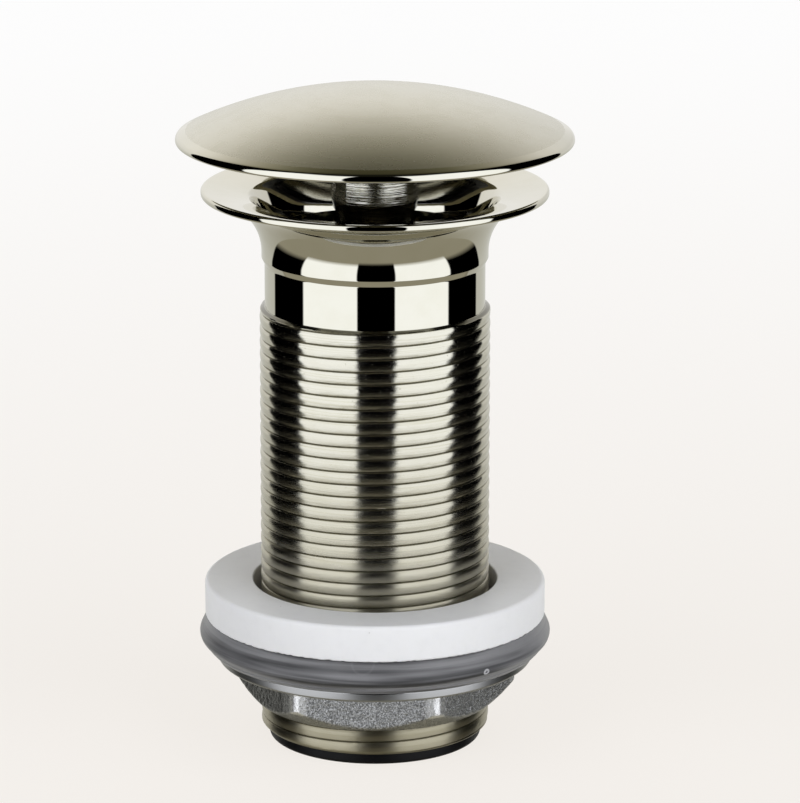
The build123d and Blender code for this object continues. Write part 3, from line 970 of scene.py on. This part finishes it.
@dataclass
class DomedCap:
    """The plunger's cap: a satin crown with a polished rolled rim."""

    rim_radius: float = 35.95
    bottom: float = 111.7
    wall: float = 1.6
    crown_radius: float = 82.0
    edge_round: float = 1.15
    lip_round: float = 0.47
    lip_chamfer: float = 0.25
    satin_radius: float = 34.1
    rim_step: float = 0.12
    inside_step: float = 0.8
    inside_margin: float = 0.12
    segments: int = 320

    def crown_angle(self) -> float:
        """Returns the angle between the axis and the crown's edge, in radians."""
        return math.asin((self.rim_radius - self.edge_round) / (self.crown_radius - self.edge_round))

    def crown_centre(self) -> float:
        """Returns the height of the centre of the crown's sphere."""
        reach = (self.crown_radius - self.edge_round) * math.cos(self.crown_angle())
        return self.bottom + self.lip_round - reach

    def outline(self) -> list[Point]:
        """Half section of the shell from the crown over the rim to its inside.

        Returns:
            Radius and height of each point.
        """
        widest = self.bottom + self.lip_round
        centre = self.crown_centre()
        lean = 90.0 - math.degrees(self.crown_angle())
        inner = self.rim_radius - self.wall
        inside = self.crown_radius - self.wall
        inner_lean = math.degrees(math.acos(inner / inside))
        edge = (self.rim_radius - self.edge_round, widest)
        lip = (self.rim_radius - self.lip_round, widest)
        line = arc((0.0, centre), self.crown_radius, 90.0, lean)
        line[0] = (0.0, line[0][1])
        line += arc(edge, self.edge_round, lean, 0.0, self.rim_step)[1:]
        line += arc(lip, self.lip_round, 0.0, -90.0, self.rim_step)[1:]
        line += [(inner + self.lip_chamfer, self.bottom), (inner, self.bottom + self.lip_chamfer)]
        line += arc((0.0, centre), inside, inner_lean, 90.0, self.inside_step)
        line[-1] = (0.0, line[-1][1])
        return line

    def build(self) -> None:
        """Makes the cap's mesh."""
        cap = turn("satin_cap", self.outline(), self.segments, closed=False)
        finish = NickelPlate(
            "nickel_cap",
            satin_radius=self.satin_radius,
            inside=(0.0, 0.0, self.crown_centre()),
            inside_radius=self.crown_radius - self.wall + self.inside_margin,
        )
        dress(cap, finish, Body.PLUNGER, "dome_cap")


@dataclass
class PlungerSleeve:
    """The turned cup under the cap."""

    radius: float = 7.9
    bore: float = 5.88
    stem: float = 3.0
    length: float = 15.6
    web: float = 2.0
    taper: float = 1.4
    taper_height: float = 4.3
    tint: Colour = (0.95, 0.94, 0.86)
    polish: float = 0.05
    ring_depth: float = 0.075
    rings_per_mm: float = 2.6
    spread: float = 0.3
    segments: int = 192

    def build(self) -> None:
        """Makes the sleeve's mesh."""
        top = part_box("plunger_sleeve")[1].z / MM
        bottom = top - self.length
        taper_top = bottom + self.taper_height
        outline = rounded(
            (self.stem, top, 0.0),
            (self.radius, top, 0.25),
            (self.radius, taper_top, 0.6),
            (self.radius - self.taper, bottom, 0.3),
            (self.bore, bottom, 0.15),
            (self.bore, top - self.web, 0.2),
            (self.stem, top - self.web, 0.0),
        )
        finish = TurnedMetal(
            "turned_sleeve_metal",
            tint=self.tint,
            polish=self.polish,
            ring_depth=self.ring_depth,
            rings_per_mm=self.rings_per_mm,
            spread=self.spread,
            # Painted shade on the sleeve's lower part, down in the throat
            shaded_below=taper_top,
        )
        sleeve = turn("turned_sleeve", outline, self.segments)
        dress(sleeve, finish, Body.PLUNGER, "plunger_sleeve")


@dataclass
class BasinWasher:
    """The thick loose washer, sawn from soft white plastic."""

    radius: float = 31.25
    hole: float = 22.4
    top_round: float = 0.8
    burr: float = 0.16
    burr_zone: float = 1.2
    burr_size: float = 1.1
    fray_size: float = 0.45
    rim_zone: float = 1.0
    segments: int = 512

    def build(self) -> None:
        """Makes the washer's mesh with a slightly ragged lower edge."""
        low, high = (corner.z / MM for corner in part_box("basin_washer"))
        outline = rounded(
            (self.hole, low, 0.12),
            (self.radius, low, 0.4),
            (self.radius, high, self.top_round),
            (self.hole, high, 0.35),
        )
        points = turned_rings(outline, self.segments)
        near_edge = np.clip(1.0 - (points[:, 2] - low) / self.burr_zone, 0.0, 1.0)
        outside = np.linalg.norm(points[:, :2], axis=1) > self.radius - self.rim_zone
        drawn = points * (1.0, 1.0, 0.2)
        ragged = wobble(drawn, self.burr_size, seed=3.0) + 0.5 * wobble(drawn, self.fray_size, seed=7.0)
        inward = 1.0 - near_edge * outside * np.abs(ragged) * self.burr / self.radius
        points[:, :2] *= inward[:, None]
        points[:, 2] += near_edge * outside * np.clip(ragged, 0.0, 1.0) * self.burr
        washer = make_object("white_washer", points, ring_faces(len(outline), self.segments, True))
        dress(washer, Polyethylene("white_polyethylene"), Body.SEALS, "basin_washer")


@dataclass
class TaperedSeal:
    """The translucent tapered seal between the washer and the back nut."""

    bore: float = 21.255
    seat: float = 30.3
    belly: float = 32.6
    belly_rise: float = 2.5
    top_radius: float = 31.1
    seam_out: float = 0.75
    seam_in: float = 0.72
    seam_low: float = 0.82
    seam_high: float = 0.98
    lip_out: float = 0.55
    lip_rise: float = 4.55
    bead_out: float = 0.3
    bead_rise: float = 4.85
    sag: float = 0.05
    sag_size: float = 3.0
    firm_zone: float = 2.0
    segments: int = 384

    def build(self) -> None:
        """Makes the seal's mesh with its swollen edge and its moulding lines."""
        low, high = (corner.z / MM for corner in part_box("tapered_seal"))
        outline = rounded(
            (self.bore, low, 0.3),
            (self.seat, low, 0.5),
            (self.seat + self.seam_out, low + self.seam_low, 0.2),
            (self.seat + self.seam_in, low + self.seam_high, 0.2),
            (self.belly, low + self.belly_rise, 1.6),
            (self.top_radius + self.lip_out, low + self.lip_rise, 0.4),
            (self.top_radius + self.bead_out, low + self.bead_rise, 0.3),
            (self.top_radius, high, 0.5),
            (self.bore, high, 0.3),
        )
        points = turned_rings(outline, self.segments)
        radial = np.linalg.norm(points[:, :2], axis=1)
        drawn = points * (0.35, 0.35, 1.0)
        swell = wobble(drawn, self.sag_size, seed=5.0) * self.sag * (radial > self.bore + self.firm_zone)
        points[:, :2] *= (1.0 + np.minimum(swell, 0.0) / radial)[:, None]
        seal = make_object("silicone_seal", points, ring_faces(len(outline), self.segments, True))
        dress(seal, ClearSilicone("grey_silicone_ring"), Body.SEALS, "tapered_seal")


@dataclass
class BackNut:
    """The cast back nut: a grainy hexagon under a turned flange."""

    flats: float = 45.21
    corner_round: float = 1.9
    hex_turn: float = -4.0
    bore: float = 21.0
    bore_chamfer: float = 0.6
    hex_height: float = 7.75
    flange_radius: float = 29.0
    flange_round: float = 0.5
    flange_inset: float = 1.5
    foot: float = 21.9
    cone_slope: float = 1.2
    blend: float = 0.35
    root_round: float = 0.3
    grain: float = 0.07
    grain_size: float = 0.75
    pit_size: float = 0.36
    skin_level: float = 0.03
    smooth_zone: float = 1.5
    crease: float = 50.0
    side_rows: int = 34
    root_rows: int = 4
    segments: int = 720

    def hex_radius(self, angles: np.ndarray, inset: float) -> np.ndarray:
        """Distance from the axis to the hexagon's side at each angle.

        Args:
            angles: Angles in radians.
            inset: How far the side is moved in.

        Returns:
            The distances.
        """
        flat = self.flats / 2 - inset
        round_off = self.corner_round
        half = math.pi / 6
        local = np.abs((angles - math.radians(self.hex_turn) + math.tau) % (2 * half) - half)
        corner = (flat - round_off) / math.cos(half)
        from_corner = half - local
        inside = np.maximum(round_off**2 - (corner * np.sin(from_corner)) ** 2, 0.0)
        on_round = corner * np.cos(from_corner) + np.sqrt(inside)
        tangent = math.atan((flat - round_off) * math.tan(half) / flat)
        return np.where(local < tangent, flat / np.cos(local), on_round)

    def side_radius(self, angles: np.ndarray, inset: float, lift: float) -> np.ndarray:
        """The hexagon's radius, blended into the cone at its foot.

        Args:
            angles: Angles in radians.
            inset: How far the side is moved in.
            lift: Height above the nut's lower face.

        Returns:
            The radius at each angle.
        """
        side = self.hex_radius(angles, inset)
        cone = self.foot + lift * self.cone_slope
        share = np.clip(0.5 + (side - cone) / (2 * self.blend), 0.0, 1.0)
        return side * (1.0 - share) + cone * share - self.blend * share * (1.0 - share)

    def build(self) -> None:
        """Makes the nut's mesh with its cast skin."""
        low, high = (corner.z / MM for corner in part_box("backnut"))
        angles = np.linspace(0.0, math.tau, self.segments, endpoint=False)
        under = low + self.hex_height
        root = under - self.root_round
        rows = [(np.full_like(angles, self.bore + self.bore_chamfer), low)]
        for height in np.linspace(low, root, self.side_rows):
            rows.append((self.side_radius(angles, 0.0, height - low), height))
        for quarter in np.linspace(0.0, math.pi / 2, self.root_rows + 1)[1:]:
            spread = self.root_round * (1.0 - math.cos(quarter))
            level = root + self.root_round * math.sin(quarter)
            rows.append((self.side_radius(angles, -spread, self.hex_height), level))
        flange = rounded(
            (self.flange_radius - self.flange_inset, under, 0.0),
            (self.flange_radius, under, self.flange_round),
            (self.flange_radius, high, self.flange_round),
            (self.bore + self.bore_chamfer, high, 0.0),
            (self.bore, high - self.bore_chamfer, 0.0),
            (self.bore, low + self.bore_chamfer, 0.0),
        )
        rows += [(np.full_like(angles, radius), height) for radius, height in flange]
        cosines, sines = np.cos(angles), np.sin(angles)
        points = np.vstack([np.stack([r * cosines, r * sines, np.full_like(r, z)], -1) for r, z in rows])
        radial = np.linalg.norm(points[:, :2], axis=1)
        skin = (points[:, 2] < under - 0.05) & (radial > self.bore + self.smooth_zone)
        rough = wobble(points, self.grain_size, seed=2.0) + 0.6 * wobble(points, self.pit_size, seed=6.0)
        inward = skin * np.minimum(rough * self.grain - self.skin_level, 0.0)
        points[:, :2] *= (1.0 + inward / radial)[:, None]
        faces = ring_faces(len(rows), self.segments, True)
        nut = make_object("cast_back_nut", points, faces, self.crease)
        finish = CastNutMetal("cast_nut_skin", turned_above=under, edge_above=high - self.flange_round)
        dress(nut, finish, Body.NUT, "backnut")


@dataclass
class TailRing:
    """The black rubber ring under the end of the tube."""

    radius: float = 19.505
    bore: float = 18.0
    lip: float = 16.9
    height: float = 2.3

    def build(self) -> None:
        """Makes the ring's mesh."""
        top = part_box("tail_seal")[1].z / MM
        outline = rounded(
            (self.radius, 0.0, 0.7),
            (self.radius, self.height, 0.12),
            (self.bore, self.height, 0.0),
            (self.bore, top, 0.2),
            (self.lip, top, 0.3),
            (self.lip, 0.0, 0.25),
        )
        finish = MouldedRubber("tail_ring_rubber")
        dress(turn("tail_ring", outline), finish, Body.WASTE, "tail_seal")


@dataclass
class ClickSpring:
    """The cartridge's coil spring, which stands on the base plug."""

    wire_radius: float = 0.4
    turns: float = 5.5
    stroke: float = 8.5
    steps_per_turn: int = 48
    wire_sides: int = 14

    def build(self) -> None:
        """Makes the spring's mesh as a round wire along a helix."""
        low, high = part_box("click_spring")
        coil_radius = high.x / MM - self.wire_radius
        bottom, length = low.z / MM, (high.z - low.z) / MM
        rings = round(self.turns * self.steps_per_turn) + 1
        share = np.linspace(0.0, 1.0, rings)
        angles = share * self.turns * math.tau
        heights = bottom + self.wire_radius + share * (length - 2 * self.wire_radius)
        centres = np.stack([coil_radius * np.cos(angles), coil_radius * np.sin(angles), heights], -1)
        along = np.gradient(centres, axis=0)
        along /= np.linalg.norm(along, axis=1)[:, None]
        outward = np.stack([np.cos(angles), np.sin(angles), np.zeros(rings)], -1)
        sideways = np.cross(along, outward)
        around = np.linspace(0.0, math.tau, self.wire_sides, endpoint=False)[None, :, None]
        section = np.cos(around) * outward[:, None] + np.sin(around) * sideways[:, None]
        points = (centres[:, None] + self.wire_radius * section).reshape(-1, 3)
        faces = ring_faces(rings, self.wire_sides, False)
        faces += [tuple(range(self.wire_sides)), tuple(range(len(points) - self.wire_sides, len(points)))]
        spring = make_object("coil_spring", points, faces)
        dress(spring, DrawnSteel("spring_wire"), Body.WASTE, "click_spring")
        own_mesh(spring)


@dataclass
class InnerParts:
    """The pieces inside the tube and under the cap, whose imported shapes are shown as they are."""

    nodes: Mapping[str, bpy.types.Object]

    def build(self) -> None:
        """Dresses each remaining node in its own finish."""
        brass = TurnedMetal("turned_brass", tint=(0.62, 0.5, 0.28), polish=0.16)
        steel = TurnedMetal("turned_steel", tint=(0.6, 0.6, 0.59))
        plate = TurnedMetal("spun_plate", tint=(0.55, 0.54, 0.5), polish=0.12, ring_depth=0.006)
        dressings: list[tuple[Finish, Slot, tuple[str, ...]]] = [
            (brass, Slot.BRASS, ("carrier", "lock_nut", "cap_boss")),
            (steel, Slot.TURNED, ("cartridge_housing", "base_plug", "plunger_stem")),
            (plate, Slot.TURNED, ("seal_plate",)),
            (DrawnSteel("spring_wire"), Slot.SPRING, ("bush_clip", "track_pins", "thrust_washer")),
            (MouldedAcetal("cream_acetal"), Slot.ACETAL, ("guide_bush", "track_sleeve")),
            (MouldedRubber("seal_rubber"), Slot.RUBBER, ("hub_gasket", "cap_seal")),
        ]
        for finish, slot, names in dressings:
            for name in names:
                dress(self.nodes[name], finish)


@dataclass
class Studio:
    """Floor, surrounding light, two lamps and camera."""

    floor_radius: float = 1600.0
    floor_drop: float = 0.02
    floor_sides: int = 96
    lamp_powers: tuple[tuple[str, float, float], ...] = (("left_fill", -50.0, 1.6), ("right_fill", 50.0, 2.5))
    fill_size: float = 300.0
    fill_distance: float = 780.0
    fill_height: float = 40.0
    distance: float = 893.6
    pitch: float = 15.0
    target_height: float = 63.2
    focal_pixels: float = 4900.0
    axis_pixel: float = 375.0
    sensor: float = 36.0
    soft_start: float = 19.6
    soft_end: float = 81.3
    flag_end: float = 130.3
    soft_blur: float = 0.9
    flag_blur: float = 1.2
    back_shade: float = 0.16
    skew: float = 1.1
    ground: Colour = (0.39, 0.365, 0.285)
    box: Colour = (1.49, 1.52, 1.59)
    ceiling: Colour = (0.012, 0.012, 0.008)
    beyond_floor: Colour = (0.97, 0.965, 0.955)
    floor_paint: Colour = (0.86, 0.85, 0.84)
    floor_near: Colour = (0.93, 0.882, 0.825)
    floor_far: Colour = (1.06, 1.06, 1.06)
    # Share of the floor's own glow that the camera sees, and where its colour fades, in metres
    glow_share: float = 0.86
    fade: Point = (-0.25, 0.8)

    def surround(self, sheet: Sheet) -> Signal:
        """Colour of the studio in each direction: two soft boxes between black flags, pale behind.

        Args:
            sheet: The world's node tree.

        Returns:
            The colour.
        """
        parts = sheet.axes(sheet.node("ShaderNodeTexCoord", output="Generated"))
        degrees = math.degrees(1.0)
        side = abs(parts.atan2(parts.part("Y") * -1.0) * degrees - self.skew)
        lift = parts.part("Z").asin() * degrees
        share = lift * (1.0 / 180.0) + 0.5

        def bands(*stops: tuple[float, Colour]) -> Signal:
            """Returns a colour that changes with the elevation, from stops in degrees."""
            places = [((elevation + 90.0) / 180.0, colour) for elevation, colour in stops]
            return sheet.node("ShaderNodeValToRGB", {"stops": places}, {0: share})

        def past(azimuth: float, blur: float) -> Signal:
            """Returns 1 further round than an angle from the front, in degrees, and 0 before it."""
            return side.ramp(azimuth - blur, azimuth + blur)

        ground, box, ceiling = self.ground, self.box, self.ceiling
        black = (0.0, 0.0, 0.0)
        front = bands((-43.0, ground), (-36.0, black), (60.0, black), (80.0, ceiling))
        soft = bands((-39.5, ground), (-32.5, box), (60.0, box), (72.0, ceiling))
        flag = bands((-36.5, ground), (-29.5, black), (50.0, black), (70.0, ceiling))
        back = bands(
            (-60.0, ground),
            (-15.0, (0.68, 0.68, 0.64)),
            (3.0, (1.0, 0.99, 0.97)),
            (14.0, (1.06, 1.05, 1.03)),
            (25.0, (1.13, 1.11, 1.08)),
            (32.0, (1.04, 1.01, 0.96)),
            (38.0, (0.8, 0.77, 0.7)),
            (44.0, (0.56, 0.53, 0.45)),
            (50.0, (0.35, 0.33, 0.25)),
            (56.0, (0.16, 0.15, 0.095)),
            (62.0, (0.07, 0.065, 0.035)),
            (70.0, ceiling),
        )
        colour = sheet.blend(past(self.soft_start, self.soft_blur), front, soft)
        colour = sheet.blend(past(self.soft_end, self.flag_blur), colour, flag)
        back = sheet.blend(parts.ramp(0.05, 0.3) * lift.ramp(-6.0, 6.0) * self.back_shade, back, black)
        return sheet.blend(past(self.flag_end, self.flag_blur), colour, back)

    def light(self) -> None:
        """Sets the world, which lights the object and looks like pale ground to the camera."""
        world = bpy.data.worlds.new("studio")
        world.use_nodes = True
        bpy.context.scene.world = world
        sheet = Sheet(world.node_tree)
        ray = sheet.node("ShaderNodeLightPath", output="Is Camera Ray")
        seen = (ray + ray.part("Is Transmission Ray")).ramp(0.0, 0.5)
        colour = sheet.blend(seen, self.surround(sheet), self.beyond_floor)
        surface = sheet.node("ShaderNodeBackground", values={"Color": colour})
        sheet.node("ShaderNodeOutputWorld", values={"Surface": surface})

    def floor(self) -> None:
        """Lays a plain pale floor, which keeps the object's shadow."""
        angles = np.linspace(0.0, math.tau, self.floor_sides, endpoint=False)
        rim = np.stack([np.cos(angles), np.sin(angles), np.zeros_like(angles)], -1) * self.floor_radius
        floor = make_object("floor", rim - (0.0, 0.0, self.floor_drop), [range(self.floor_sides)])
        made = bpy.data.materials.new("pale_floor")
        made.use_nodes = True
        sheet = Sheet(made.node_tree)
        ray = sheet.node("ShaderNodeLightPath", output="Is Camera Ray")
        shade = sheet.blend(sheet.polar()[0].ramp(*self.fade), self.floor_near, self.floor_far)
        paint = sheet.node("ShaderNodeBsdfDiffuse", values={"Color": self.floor_paint})
        glow = sheet.node("ShaderNodeEmission", values={"Color": shade})
        lit = sheet.node("ShaderNodeMixShader", values={0: ray * self.glow_share, 1: paint, 2: glow})
        clear = sheet.node("ShaderNodeBsdfTransparent")
        surface = sheet.node("ShaderNodeMixShader", values={0: ray.part("Is Glossy Ray"), 1: lit, 2: clear})
        sheet.node("ShaderNodeOutputMaterial", values={"Surface": surface})
        floor.data.materials.append(made)

    def fill(self) -> None:
        """Adds a soft lamp low on each side, which the metal doesn't mirror."""
        for name, azimuth, power in self.lamp_powers:
            data = bpy.data.lights.new(name, "AREA")
            data.energy = power
            data.size = self.fill_size * MM
            lamp = bpy.data.objects.new(name, data)
            around = math.radians(azimuth)
            spot = Vector((math.sin(around), -math.cos(around), 0.0)) * self.fill_distance
            lamp.location = (spot + Vector((0.0, 0.0, self.fill_height))) * MM
            lamp.rotation_euler = (math.radians(90.0), 0.0, around)
            lamp.visible_camera = False
            lamp.visible_glossy = False
            bpy.context.scene.collection.objects.link(lamp)

    def camera(self) -> None:
        """Places the camera at the photograph's angle, with a long lens and a small offset to the side."""
        data = bpy.data.cameras.new("camera")
        data.sensor_fit = "HORIZONTAL"
        data.sensor_width = self.sensor
        data.lens = self.focal_pixels * self.sensor / PHOTO_WIDTH
        data.shift_x = (PHOTO_WIDTH / 2 - self.axis_pixel) / PHOTO_WIDTH
        data.clip_start = 0.05
        data.clip_end = 20.0
        camera = bpy.data.objects.new("camera", data)
        lean = math.radians(self.pitch)
        height = self.target_height + self.distance * math.sin(lean)
        camera.location = Vector((0.0, -self.distance * math.cos(lean), height)) * MM
        camera.rotation_euler = (math.radians(90.0) - lean, 0.0, 0.0)
        bpy.context.scene.collection.objects.link(camera)
        bpy.context.scene.camera = camera

    def build(self) -> None:
        """Sets the view transform, light, floor and camera."""
        bpy.context.scene.view_settings.view_transform = "Standard"
        self.light()
        self.fill()
        self.floor()
        self.camera()


def main() -> None:
    logging.basicConfig(level=logging.INFO, format="%(message)s")
    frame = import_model()
    pieces = (WasteTube(), DomedCap(), PlungerSleeve(), BasinWasher(), TaperedSeal(), BackNut(), TailRing())
    for part in (*pieces, ClickSpring(), InnerParts(frame["nodes"]), Studio()):
        part.build()
        log.info("built: %s", type(part).__name__)


if __name__ == "__main__":
    main()
